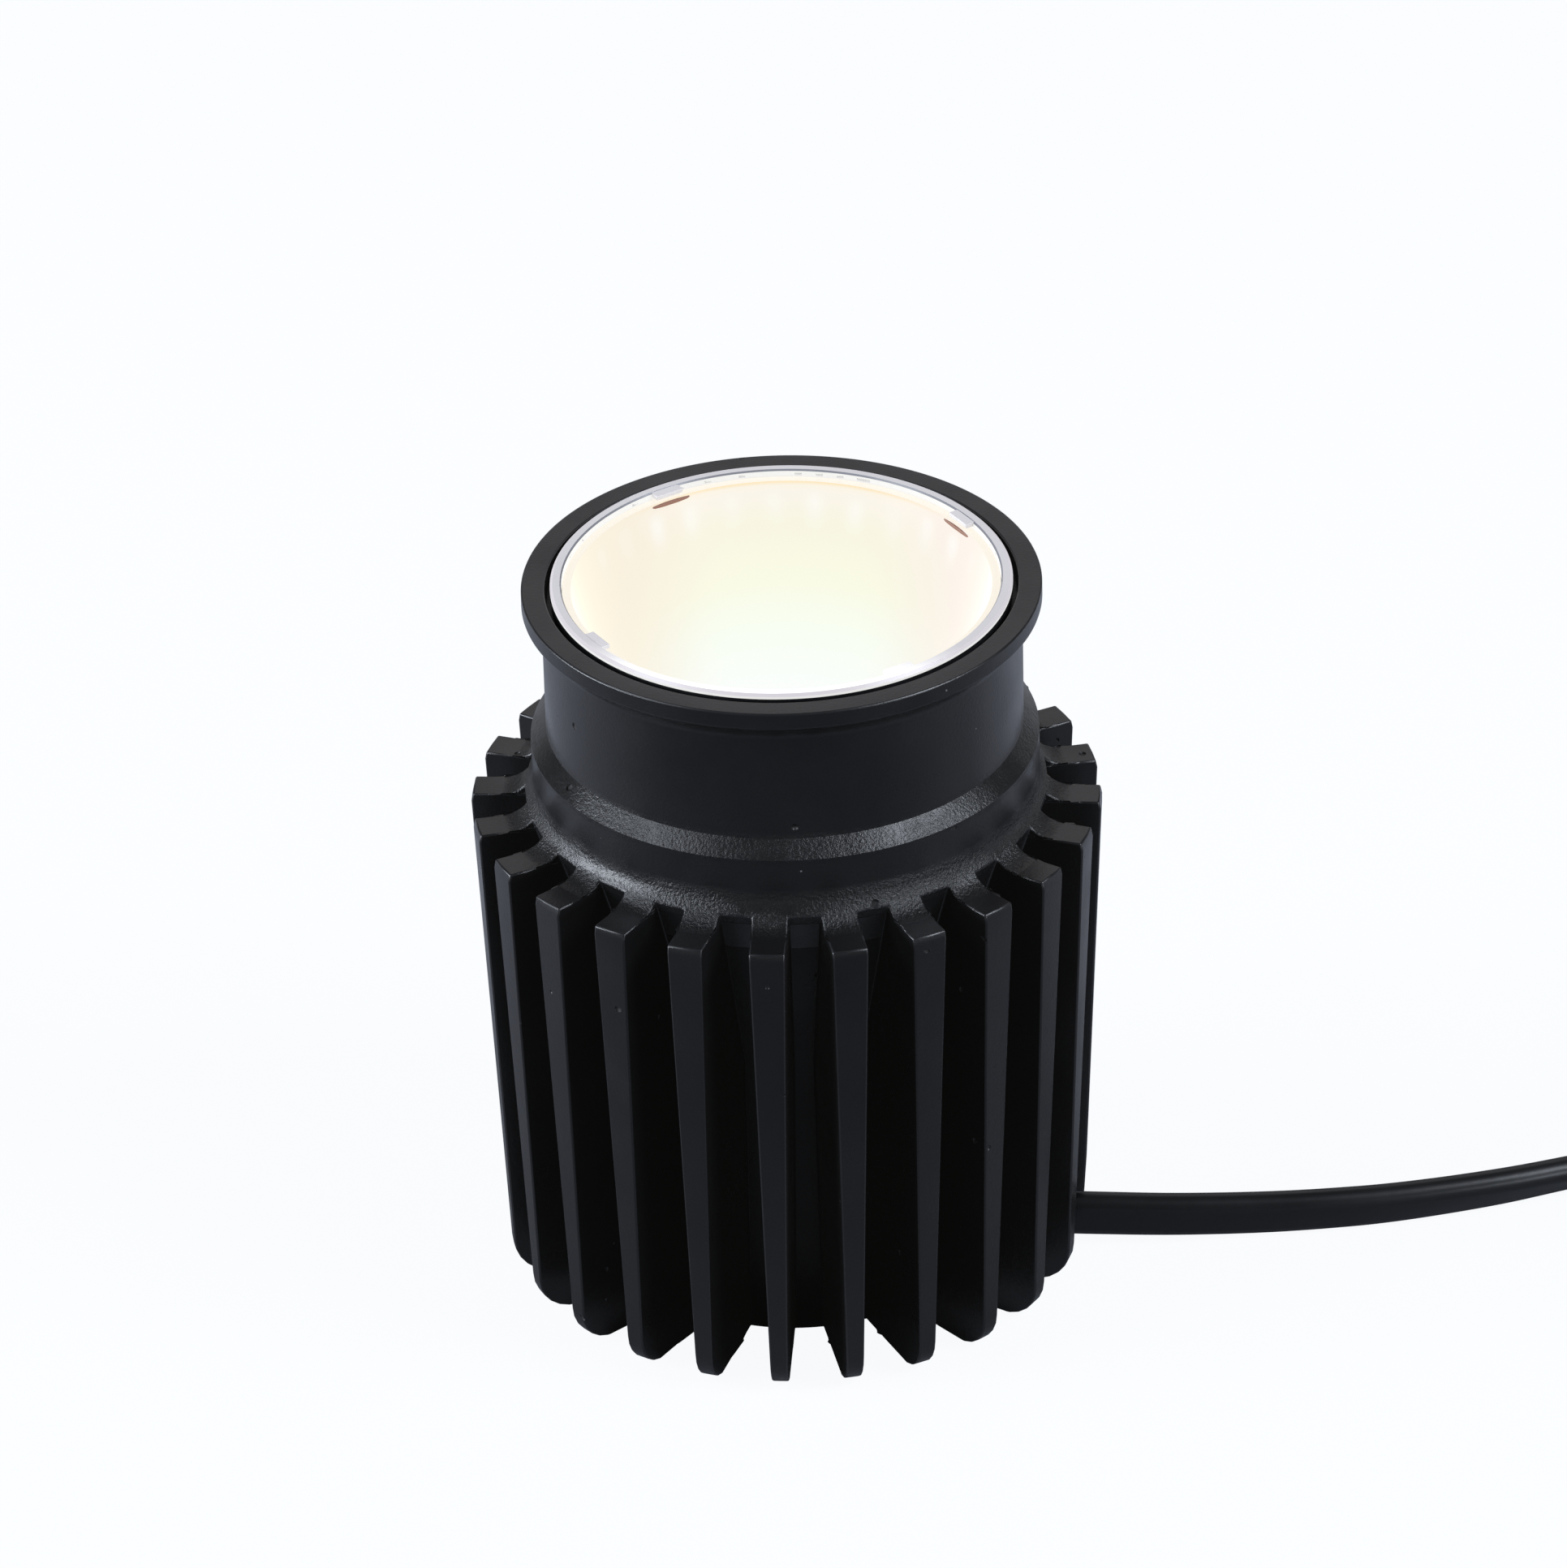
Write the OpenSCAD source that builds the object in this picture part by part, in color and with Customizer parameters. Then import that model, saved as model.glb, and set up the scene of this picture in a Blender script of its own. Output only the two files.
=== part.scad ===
// LED downlight module: a finned die-cast heat sink with a lit reflector cup, a clear
// front cover and a flat connecting lead. Millimetres, +Z is the way the light leaves.
// The origin is the centre of the fin tips that the module stands on.

/* [Front flange] */
// outside diameter of the front flange
flange_d = 50; // [48.6:0.1:56]
// height of the flange's side
flange_h = 1.7; // [1.2:0.1:2.6]
// small bevel on the flange's top edge
flange_bevel = 0.2; // [0.1:0.05:0.4]
// height of the slope under the flange
flange_slope_h = 2.3; // [1.5:0.1:4]
// diameter of the recess that takes the front cover
bore_d = 45.4; // [45:0.1:46]
// depth of the recess below the flange's face
bore_depth = 1.6; // [1.4:0.1:1.8]

/* [Neck and shoulder] */
// height of the flange's face
height = 75; // [73:0.5:85]
// diameter of the plain neck
neck_d = 46.2; // [45.4:0.1:47.6]
// height at which the neck ends and the bevelled band starts
neck_z = 60.2; // [59.4:0.1:62]
// diameter of the short wall under the band
wall_d = 49.2; // [48.4:0.1:49.8]
// radius of the hollow curve between the wall and the fin tops
shoulder_r = 3.1; // [2:0.1:3.6]

/* [Fins] */
// number of fins
fin_count = 24; // [20:1:26]
// height of the fin tops
fin_top_z = 51.8; // [50:0.2:54]
// diameter over the fins at their tops
fin_top_d = 61.4; // [60:0.2:66]
// diameter over the fins at the floor
fin_base_d = 57; // [54:0.2:59]
// fin thickness at the top
fin_top_t = 3.45; // [2.6:0.05:3.8]
// fin thickness at the floor
fin_base_t = 1.6; // [1.2:0.05:2]
// bevel on the outer top edge of a fin
fin_bevel = 0.7; // [0.2:0.05:0.9]
// radius of the outer bottom corner of a fin
fin_corner_r = 4; // [2:0.5:6]

/* [Core] */
// core diameter at the level of the fin tops
core_top_d = 50; // [49.6:0.1:51]
// core diameter at the waist
core_waist_d = 36.6; // [35:0.2:38.4]
// height of the waist
core_waist_z = 32; // [30:0.5:34]
// core diameter at the floor
core_base_d = 33.6; // [32:0.2:34.8]
// height of the seat that carries the light source
seat_z = 36; // [35.5:0.1:36.5]
// diameter of the seat
seat_d = 27; // [26.4:0.1:28]

/* [Wiring pocket] */
// diameter of the pocket in the base
pocket_d = 20; // [18:0.2:21]
// height of the pocket's ceiling
pocket_z = 13; // [9:0.5:18]
// diameter of the base cover
cover_d = 23; // [22.4:0.1:25]
// thickness of the base cover
cover_t = 1.8; // [1.4:0.1:1.8]
// how far the base cover sits above the fin tips
cover_recess = 0.2; // [0.1:0.05:0.4]
// diameter of the wire passage from the pocket to the seat
passage_d = 3.6; // [3.2:0.1:4]

/* [Light source] */
// thickness of the heat-conducting pad
pad_t = 0.3; // [0.2:0.05:0.6]
// side of the square board
board_side = 13.4; // [12.4:0.1:14]
// thickness of the board
board_t = 1; // [0.8:0.1:1.2]
// diameter of the glowing disc
phosphor_d = 11; // [9:0.2:11.6]
// thickness of the glowing disc
phosphor_t = 0.6; // [0.4:0.1:0.8]
// diameter of the holder ring
holder_d = 25.6; // [25:0.1:26]
// height of the holder ring
holder_h = 3; // [2.8:0.1:3.6]
// distance between the two holder screws
screw_pitch = 21.4; // [21.2:0.1:21.6]
// screw diameter
screw_d = 2.5; // [2:0.1:2.6]
// screw head diameter
screw_head_d = 3.8; // [3.4:0.1:4]
// depth of the screws in the heat sink
screw_depth = 6; // [4:0.5:8]

/* [Reflector and cover] */
// inside diameter of the reflector at its rim
cup_top_d = 40.4; // [39:0.2:40.8]
// inside diameter of the reflector at its foot
cup_foot_d = 13.2; // [12.6:0.1:14]
// wall of the reflector
cup_wall = 0.9; // [0.7:0.1:1]
// thickness of the reflector's rim
cup_rim_t = 1; // [0.8:0.1:1.2]
// height of the front cover's edge ring
lens_t = 1.1; // [0.9:0.1:1.4]
// gap between the front cover and the recess
lens_gap = 0.5; // [0.3:0.05:0.6]
// width of the front cover's raised edge ring
lens_edge_w = 1.1; // [0.8:0.1:1.4]
// width of each of the four tabs on the front cover's edge
tab_w = 3; // [2:0.2:5]
// how far the tabs reach inward from the edge ring
tab_in = 0.9; // [0.6:0.1:1.2]
// length of the hook under each tab
hook_h = 1.4; // [1:0.1:1.8]

/* [Lead] */
// width of the flat lead
lead_w = 4.6; // [4:0.1:4.8]
// thickness of the flat lead
lead_t = 2.7; // [2.2:0.1:3]
// height of the outlet under the shortened fin
outlet_z = 6; // [5.6:0.1:8]
// width of the outlet
outlet_w = 4.6; // [4.4:0.1:5]
// diameter of one inner wire
wire_d = 1.2; // [0.8:0.1:1.4]
// length of the plug's grip
plug_l = 20; // [16:1:26]
// diameter of the plug's grip
plug_d = 9; // [8:0.2:10]
// outside diameter of the plug's sleeve
sleeve_d = 5.5; // [4.8:0.1:6]
// free length of the plug's sleeve
sleeve_l = 9.5; // [8:0.5:12]
// diameter of the plug's pin hole
pin_d = 2.1; // [1.9:0.1:2.5]

/* [Hidden] */
$fn = 96;
clear = 0.1;
eps = 0.01;
steps = 6;

flange_r = flange_d / 2;
neck_r = neck_d / 2;
wall_r = wall_d / 2;
band_z = neck_z - (wall_r - neck_r);
pitch = 360 / fin_count;

// the hollow curve of the shoulder, from the short wall down to the fin tops
shoulder_c = [wall_r + shoulder_r, fin_top_z + shoulder_r];
function shoulder(a) = shoulder_c - shoulder_r * [cos(a), sin(a)];
slot_z = fin_top_z + shoulder_r + 1;
core_flare = (core_top_d - core_waist_d) / 2 / (fin_top_z - core_waist_z);

// a fin's half thickness at a height
function fin_half(z) = (fin_base_t + (fin_top_t - fin_base_t) * z / fin_top_z) / 2;
function fin_edge(z) = (fin_base_d + (fin_top_d - fin_base_d) * z / fin_top_z) / 2;
fin_corner_c = [fin_edge(fin_corner_r) - fin_corner_r, fin_corner_r];

// levels of the light source, stacked up from the seat
board_z = seat_z + pad_t;
phosphor_z = board_z + board_t;
holder_z = seat_z + holder_h;

// levels of the front, stacked down from the flange's face
ledge_z = height - bore_depth;
ledge_r = cup_top_d / 2 + cup_wall + 4 * clear;
lens_z = ledge_z + cup_rim_t;
lens_r = bore_d / 2 - lens_gap;
lens_lip = 0.35;
hook_t = 0.7;

// the reflector's curve: a parabola from its foot to its rim
function cup_r(z) = let (a = (cup_foot_d / 2) ^ 2, b = (cup_top_d / 2) ^ 2)
    sqrt(a + (b - a) * (z - holder_z) / (lens_z - holder_z));
cup_rows = [for (i = [0:14]) holder_z + (lens_z - holder_z) * (i / 14) ^ 1.5];

wire_y = (pocket_d - passage_d) / 2 - 0.5;
wire_gap = wire_d / 2 + 0.15;
outlet_cz = 3.2;
lead_in = pocket_d / 2 - 1;
gland_x = [pocket_d / 2 + clear, core_base_d / 2 + 1];

// the lead's way over the floor, and the turn of its wide side from upright to lying
plug_turn = -42;
plug_way = [cos(plug_turn), sin(plug_turn), 0];
plug_at = [150, -4, plug_d / 2];
route = [
    [lead_in, 0, outlet_cz],
    [20, 0, outlet_cz],
    [30, 0, 3.1],
    [38, 0.5, 2.8],
    [47, 1.6, 2.5],
    [55, 3, 2.35],
    [62, 4.7, 2.2],
    [70, 7.3, 2],
    [77, 10.2, 1.9],
    [87, 14.4, 1.76],
    [97, 17.2, 1.56],
    [107, 18, 1.46],
    [117, 16.6, 1.5],
    [126, 13.4, 2],
    [134, 9.2, 3],
    [142, 3.2, 4.2],
    plug_at - 4 * plug_way,
    plug_at
];
turn = [0, 0, 5, 14, 24, 34, 42, 50, 56, 68, 80, 88, 90, 90, 90, 90, 90, 90];
rings_per_leg = 3;

module ring(d_out, d_in, h) {
    difference() {
        cylinder(d = d_out, h = h);
        translate([0, 0, -1]) cylinder(d = d_in, h = h + 2);
    }
}

// the lead's rounded flat section, standing upright, along +X
module lead_bar(w, t, l) {
    rotate([90, 0, 90]) linear_extrude(l) {
        square([t, w - t], center = true);
        for (s = [-1, 1]) translate([0, s * (w - t) / 2]) circle(d = t, $fn = 32);
    }
}

// a smooth curve through some points, with a few rings to each leg
function curve(p, i, t) = let (
        n = len(p) - 1,
        a = p[max(i - 1, 0)],
        b = p[i],
        c = p[min(i + 1, n)],
        d = p[min(i + 2, n)]
    )
    b + t / 2 * (c - a + t * (2 * a - 5 * b + 4 * c - d + t * (3 * (b - c) + d - a)));
function smooth(p) = concat(
    [for (i = [0:len(p) - 2], k = [0:rings_per_leg - 1]) curve(p, i, k / rings_per_leg)],
    [p[len(p) - 1]]
);

// a rounded flat section at one ring of a line; at no turn its wide side runs along up
function rim(line, j, w, t, sides, up, angle) = let (
        v = line[min(j + 1, len(line) - 1)] - line[max(j - 1, 0)],
        ahead = v / norm(v),
        side = cross(up, ahead) / norm(cross(up, ahead)),
        wide = cos(angle) * cross(ahead, side) - sin(angle) * side,
        flat = cross(wide, ahead)
    )
    [for (s = [0:sides - 1]) let (a = 360 * (s + 0.5) / sides)
        line[j] + t / 2 * (cos(a) * flat + sin(a) * wide) + sign(sin(a)) * (w - t) / 2 * wide];

// a lead of that section along a line; angles turn the section from point to point
module sweep(line, w, t, sides, up, angles = [0, 0]) {
    n = len(line);
    table = [for (i = [0:len(angles) - 1]) [i * (n - 1) / (len(angles) - 1), angles[i]]];
    polyhedron(
        points = [for (j = [0:n - 1]) each rim(line, j, w, t, sides, up, lookup(j, table))],
        faces = concat(
            [[for (s = [sides - 1:-1:0]) s]],
            [for (j = [0:n - 2], s = [0:sides - 1]) let (p = j * sides, q = (s + 1) % sides)
                each [[p + s, p + q, p + sides + q], [p + s, p + sides + q, p + sides + s]]],
            [[for (s = [0:sides - 1]) (n - 1) * sides + s]]
        )
    );
}

// the casting's outline, with the fins as one solid skirt
module sink_blank() {
    rotate_extrude() polygon(concat(
        [[0, 0]],
        [for (i = [0:steps]) fin_corner_c + fin_corner_r * [sin(90 * i / steps), -cos(90 * i / steps)]],
        [
            [fin_edge(fin_top_z - fin_bevel), fin_top_z - fin_bevel],
            [fin_edge(fin_top_z) - fin_bevel, fin_top_z]
        ],
        [for (i = [steps:-1:0]) shoulder(90 * i / steps)],
        [
            [wall_r, band_z],
            [neck_r, neck_z],
            [neck_r, height - flange_h - flange_slope_h],
            [flange_r, height - flange_h],
            [flange_r, height - flange_bevel],
            [flange_r - flange_bevel, height],
            [0, height]
        ]
    ));
}

// one fin with drafted sides, along +X
module fin_blade() {
    inner = core_base_d / 2 - 1.5;
    translate([inner, 0, 0]) rotate([90, 0, 90]) linear_extrude(fin_top_d) polygon([
        [-fin_half(-2), -2],
        [fin_half(-2), -2],
        [fin_half(slot_z + 1), slot_z + 1],
        [-fin_half(slot_z + 1), slot_z + 1]
    ]);
}

// what is cut away between the fins, down to the core
module fin_slots() {
    difference() {
        rotate_extrude() polygon([
            [core_base_d / 2, -1],
            [core_base_d / 2, 0],
            [core_waist_d / 2, core_waist_z],
            [core_top_d / 2 + core_flare * (slot_z - fin_top_z), slot_z],
            [fin_top_d, slot_z],
            [fin_top_d, -1]
        ]);
        for (i = [0:fin_count - 1]) rotate([0, 0, pitch * i]) fin_blade();
    }
}

// the hollow for the reflector, the seat and the front recess
module sink_hollow() {
    rotate_extrude() polygon([
        [0, seat_z],
        [seat_d / 2, seat_z],
        [seat_d / 2, holder_z + 2.5],
        [ledge_r, (seat_z + ledge_z) / 2 + 6],
        [ledge_r, ledge_z],
        [bore_d / 2, ledge_z],
        [bore_d / 2, height + 1],
        [0, height + 1]
    ]);
}

module wiring_hollow() {
    translate([0, 0, -1]) cylinder(d = pocket_d, h = pocket_z + 1);
    translate([0, 0, -1]) cylinder(d = cover_d + 2 * clear, h = cover_recess + cover_t + 1);
    translate([0, wire_y, pocket_z - 1]) cylinder(d = passage_d, h = seat_z - pocket_z + 2, $fn = 32);
    translate([0, -outlet_w / 2, -1]) cube([fin_top_d, outlet_w, outlet_z + 1]);
}

module heat_sink() color([0.13, 0.13, 0.14]) {
    difference() {
        sink_blank();
        fin_slots();
        sink_hollow();
        wiring_hollow();
        for (s = [-1, 1]) translate([s * screw_pitch / 2, 0, seat_z - screw_depth - 1])
            cylinder(d = screw_d + clear, h = screw_depth + 2, $fn = 32);
    }
}

// a disc with a notch for the lead and its grommet
module base_cover() color([0.12, 0.12, 0.13]) {
    difference() {
        translate([0, 0, cover_recess]) cylinder(d = cover_d, h = cover_t);
        translate([lead_in - 3.2, -outlet_w / 2 - clear, -1]) cube([cover_d, outlet_w + 2 * clear, cover_t + 2]);
    }
}

module thermal_pad() color([0.75, 0.77, 0.8])
    translate([-board_side / 2, -board_side / 2, seat_z]) cube([board_side, board_side, pad_t]);

module led_board() color([0.9, 0.9, 0.88])
    translate([-board_side / 2, -board_side / 2, board_z]) cube([board_side, board_side, board_t]);

module led_phosphor() color([1, 0.85, 0.4])
    translate([0, 0, phosphor_z]) cylinder(d = phosphor_d, h = phosphor_t);

// a ring over the board, open for the light, the wires and the screws
module led_holder() color([0.95, 0.95, 0.93]) {
    pocket = board_side + 2 * clear;
    difference() {
        translate([0, 0, seat_z]) cylinder(d = holder_d, h = holder_h);
        translate([-pocket / 2, -pocket / 2, seat_z - 1]) cube([pocket, pocket, pad_t + board_t + 1]);
        translate([0, 0, seat_z]) cylinder(d = cup_foot_d - 2 * clear, h = holder_h + 1);
        translate([-passage_d / 2, board_side / 2 - 2, seat_z - 1])
            cube([passage_d, wire_y + passage_d / 2 - board_side / 2 + 2, holder_h + 0.8]);
        for (s = [-1, 1]) translate([s * screw_pitch / 2, 0, seat_z - 1])
            cylinder(d = screw_d + 2 * clear, h = holder_h + 2, $fn = 32);
    }
}

module holder_screws() color([0.72, 0.72, 0.74]) {
    for (s = [-1, 1]) translate([s * screw_pitch / 2, 0, 0]) {
        difference() {
            translate([0, 0, holder_z]) cylinder(d = screw_head_d, h = 1.2, $fn = 32);
            for (a = [0, 90]) rotate([0, 0, a])
                translate([-1.2, -0.3, holder_z + 0.6]) cube([2.4, 0.6, 1]);
        }
        translate([0, 0, seat_z - screw_depth])
            cylinder(d = screw_d, h = screw_depth + holder_h + eps, $fn = 32);
    }
}

// the four places of the front cover's tabs
module at_tabs() {
    for (a = [36:90:350]) rotate([0, 0, a]) children();
}

// a turned cup, with a notch in its rim for each hook of the front cover
module reflector() color([0.98, 0.97, 0.92]) {
    rim_r = lens_r - clear;
    notch_r = ledge_r - 2 * clear;
    difference() {
        rotate_extrude() polygon(concat(
            [for (z = cup_rows) [cup_r(z), z]],
            [
                [rim_r, lens_z],
                [rim_r, ledge_z],
                [notch_r, ledge_z]
            ],
            [for (i = [13:-1:0]) [cup_r(cup_rows[i]) + cup_wall, cup_rows[i]]]
        ));
        at_tabs() translate([notch_r - 2, -tab_w / 2 - clear, lens_z - hook_h - clear])
            cube([2, tab_w + 2 * clear, hook_h + 1]);
    }
}

// a clear disc with a raised edge ring, and four tabs that hook into the reflector's rim
module front_cover() color([0.85, 0.88, 0.95, 0.4]) {
    inner_r = lens_r - lens_edge_w;
    hook_r = cup_top_d / 2 + 2 * clear;
    difference() {
        translate([0, 0, lens_z]) cylinder(r = lens_r, h = lens_t);
        translate([0, 0, lens_z + lens_t - lens_lip]) cylinder(r = inner_r, h = 1);
    }
    at_tabs() {
        translate([inner_r - tab_in, -tab_w / 2, lens_z + lens_lip])
            cube([tab_in + lens_lip, tab_w, lens_t - lens_lip]);
        translate([hook_r, -tab_w / 2, lens_z - hook_h]) cube([hook_t, tab_w, hook_h + lens_lip]);
    }
}

// two insulated wires from the lead up to the board
module inner_wires() color([0.75, 0.2, 0.15]) {
    top = phosphor_z + wire_d / 2 + clear;
    for (s = [-1, 1]) sweep(smooth([
        [lead_in - 3 * clear, 0, outlet_cz + s],
        [lead_in - 1.5, 0, outlet_cz + s],
        [lead_in - 3.2, 2.4, outlet_cz + s + 1.8],
        [2 + s * wire_gap, wire_y - 1, outlet_cz + s + 2.8],
        [s * wire_gap, wire_y, pocket_z - 2],
        [s * wire_gap, wire_y, seat_z - 8],
        [s * wire_gap, wire_y, seat_z - 0.5],
        [s * wire_gap, board_side / 2 + 0.3, top],
        [s * wire_gap, board_side / 2 - 0.8, top]
    ]), wire_d, wire_d, 8, [1, 0, 0]);
}

module cable_grommet() color([0.1, 0.1, 0.1]) {
    difference() {
        translate([gland_x[0], clear / 2 - outlet_w / 2, 0.4])
            cube([gland_x[1] - gland_x[0], outlet_w - clear, outlet_z - clear / 2 - 0.4]);
        translate([0, 0, outlet_cz]) lead_bar(lead_w + clear, lead_t + clear, 2 * core_base_d);
    }
}

module cable() color([0.07, 0.07, 0.08])
    sweep(smooth(route), lead_w, lead_t, 12, [0, 0, 1], turn);

// puts a turned piece of the plug at the lead's end
module on_plug() {
    translate(plug_at) rotate([0, 0, plug_turn]) rotate([0, 90, 0]) children();
}

module plug_body() color([0.08, 0.08, 0.09])
    on_plug() rotate_extrude() polygon([
        [0, clear],
        [lead_w / 2 + 0.4, clear],
        [lead_w / 2 + 1, 6],
        [plug_d / 2, 7],
        [plug_d / 2, plug_l - 0.6],
        [plug_d / 2 - 0.6, plug_l],
        [0, plug_l]
    ]);

module plug_sleeve() color([0.75, 0.76, 0.78])
    on_plug() translate([0, 0, plug_l]) ring(sleeve_d, sleeve_d - 0.8, sleeve_l);

module plug_insulator() color([0.1, 0.1, 0.1])
    on_plug() translate([0, 0, plug_l]) ring(sleeve_d - 0.8, pin_d + 0.8, sleeve_l + 0.3);

module plug_contact() color([0.8, 0.7, 0.45])
    on_plug() translate([0, 0, plug_l]) ring(pin_d + 0.8, pin_d, sleeve_l - 0.4);

heat_sink();
base_cover();
thermal_pad();
led_board();
led_phosphor();
led_holder();
holder_screws();
reflector();
front_cover();
inner_wires();
cable_grommet();
cable();
plug_body();
plug_sleeve();
plug_insulator();
plug_contact();
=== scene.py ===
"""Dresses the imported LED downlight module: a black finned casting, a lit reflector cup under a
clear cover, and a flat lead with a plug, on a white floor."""
import math

import bmesh
import bpy
from mathutils import Matrix, Vector


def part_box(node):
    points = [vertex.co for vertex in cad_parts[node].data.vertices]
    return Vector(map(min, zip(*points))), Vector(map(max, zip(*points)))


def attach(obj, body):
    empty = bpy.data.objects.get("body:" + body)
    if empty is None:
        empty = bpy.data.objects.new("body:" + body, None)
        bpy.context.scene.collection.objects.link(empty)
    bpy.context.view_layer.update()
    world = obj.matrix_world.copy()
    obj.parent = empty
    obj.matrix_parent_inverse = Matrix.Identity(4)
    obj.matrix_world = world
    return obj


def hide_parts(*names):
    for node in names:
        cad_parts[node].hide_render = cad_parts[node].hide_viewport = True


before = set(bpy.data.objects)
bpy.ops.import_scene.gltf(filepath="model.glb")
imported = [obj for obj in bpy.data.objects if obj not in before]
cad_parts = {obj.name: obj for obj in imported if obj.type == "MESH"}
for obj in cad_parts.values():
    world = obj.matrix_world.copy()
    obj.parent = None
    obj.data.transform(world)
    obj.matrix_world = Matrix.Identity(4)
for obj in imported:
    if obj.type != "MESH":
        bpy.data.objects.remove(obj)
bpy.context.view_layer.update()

bl_info = {
    "name": "LED Downlight Module",
    "version": (1, 0, 0),
    "blender": (4, 5, 0),
    "location": "View3D > Sidebar > LED Module",
    "description": "Builds the seen pieces of a finned LED downlight module on its packed solids",
    "category": "Object",
}

MM = 0.001
MERGE = 0.001 * MM
SEGMENTS = 192

# The casting, in millimetres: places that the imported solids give, and the casting's own forms
SINK_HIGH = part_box("heat_sink")[1]
COVER_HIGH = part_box("base_cover")[1]
LENS_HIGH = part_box("front_cover")[1]
CUP_LOW, CUP_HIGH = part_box("reflector")
HEIGHT = SINK_HIGH[2] / MM
FIN_TOP_R = SINK_HIGH[0] / MM
FIN_TOP_Z = 51.8
FIN_BASE_R = 28.5
FIN_TOP_T = 3.45
FIN_BASE_T = 1.6
FIN_FACET_W = 0.21
FIN_FACET_H = 0.84
FIN_FLAT_R = 29.0
FIN_FOOT_R = 20.0
FIN_CORNER = 4.0
OUTLET_Z = 6.0
CORE_BASE_R = 16.8
CORE_WAIST_R = 18.3
CORE_WAIST_Z = 32.0
CORE_TOP_R = 25.0
FIN_LEVELS = (10, 17, 24.5, CORE_WAIST_Z, 38, 44, 48.5)
SHOULDER = 3.1
CREASE = 7.0
WALL_R = 24.6
NECK_R = 23.1
NECK_Z = 60.2
FLANGE_R = 25.0
FLANGE_H = 1.7
FLANGE_SLOPE = 2.3
FLANGE_CURVE = ((0.35, 0.9), (0.9, 1.65))
EDGE_LOOP = 0.5
BORE_R = 22.7
LEDGE_Z = CUP_HIGH[2] / MM - 1.0
LEDGE_R = 21.5
SEAT_R = 13.5
SEAT_Z = 36.0
FUNNEL_Z = 41.5
HOLLOW_Z = 60.0
POCKET_R = 10.0
POCKET_Z = 13.0
COVER_R = COVER_HIGH[0] / MM + 0.1
COVER_Z = COVER_HIGH[2] / MM
# how deep the grain is on the shoulder, on the band and elsewhere, as a share of the setting
SHOULDER_GRAIN = 1.0
BAND_GRAIN = 0.62
FINE_GRAIN = 0.15

# The cup and the cover over it, in millimetres
CUP_FOOT_R = 6.6
CUP_TOP_R = 20.2
CUP_WALL = 0.9
CUP_STEPS = 28
RIM_WIDTH = 1.05
# the cover's plastic makes the cup's rim look nearer than it is
RIM_LIFT = 0.35
RING_WIDTH = 1.1
RING_BEVEL = 0.25
INNER_BEVEL = 0.15
PANE_DOWN = (0.6, 0.35)
TABS = 4
TAB_ANGLE = math.radians(36)
TAB_WIDTH = 3.0
TAB_REACH = 0.9
HOOK_WIDTH = 4.5
HOOK_REACH = (20.0, 21.0)

# The lead, in millimetres: its way over the floor, and how far its wide side has turned
PLUG_TURN = math.radians(-42)
PLUG_AT = Vector((150, -4, 4.5))
PLUG_WAY = Vector((math.cos(PLUG_TURN), math.sin(PLUG_TURN), 0))
ROUTE = [Vector(p) for p in (
    (9, 0, 3.2), (20, 0, 3.2), (30, 0, 3.1), (38, 0.5, 2.8), (47, 1.6, 2.5), (55, 3, 2.35),
    (62, 4.7, 2.2), (70, 7.3, 2), (77, 10.2, 1.9), (87, 14.4, 1.76), (97, 17.2, 1.56),
    (107, 18, 1.46), (117, 16.6, 1.5), (126, 13.4, 2), (134, 9.2, 3), (142, 3.2, 4.2),
)] + [PLUG_AT - 4 * PLUG_WAY, PLUG_AT]
TURN = (0, 0, 2, 5, 9, 14, 20, 28, 36, 52, 70, 84, 90, 90, 90, 90, 90, 90)
FLOOR_GAP = 0.05

# The photograph's camera, fitted to the casting: pixels of its frame, and a sensor in millimetres
PHOTO_LONG_SIDE = 1932
PHOTO_FOCAL = 12143
SENSOR = 36.0

# The stage, in metres: the floor's reach, its white and the white's share, and the lamps
FLOOR_REACH = 6.0
FLOOR_LEVEL = 1.008
FLOOR_SHARE = 0.95
COOL = (0.84, 0.9, 1.0)
PALE = (0.98, 0.96, 1.0)
LAMP_AIM = Vector((0, 0, 0.045))
# each with its place, its size, its share of the key power and its colour
LAMPS = (
    ("Left softbox", (-0.68, -0.24, 0.72), (0.4, 0.4), 1.4, COOL),
    ("Left strip", (-0.94, -0.18, 0.2), (0.8, 0.28), 5.0, COOL),
    ("Right softbox", (0.7, -0.2, 0.72), (0.46, 0.42), 3.0, COOL),
    ("Right strip", (0.78, -0.58, 0.2), (0.4, 0.22), 1.1, COOL),
    ("Back softbox", (0.0, 0.9, 0.62), (1.3, 0.6), 0.5, PALE),
)


# Settings

class CastingSettings(bpy.types.PropertyGroup):
    """Finish of the heat sink"""
    fin_count: bpy.props.IntProperty(name="Fins", description="Number of fins", default=24, min=8)
    edge: bpy.props.FloatProperty(
        name="Edge", description="Width of the rounded casting edges",
        default=0.16 * MM, unit="LENGTH")
    colour: bpy.props.FloatVectorProperty(
        name="Coat", description="Colour of the black coat", subtype="COLOR", size=3,
        default=(0.0055, 0.0055, 0.0062))
    # edges are lighter partly from wear and partly as a painted highlight
    wear_and_highlight: bpy.props.FloatVectorProperty(
        name="Worn edge with painted highlight", description="Colour of the coat where edges are rubbed and painted lighter as a highlight", subtype="COLOR",
        size=3, default=(0.01, 0.01, 0.0115))
    roughness: bpy.props.FloatProperty(
        name="Roughness", description="Roughness of the coat", default=0.31, subtype="FACTOR")
    grain: bpy.props.FloatProperty(
        name="Grain", description="Depth of the cast grain", default=0.17 * MM, unit="LENGTH")


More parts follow.
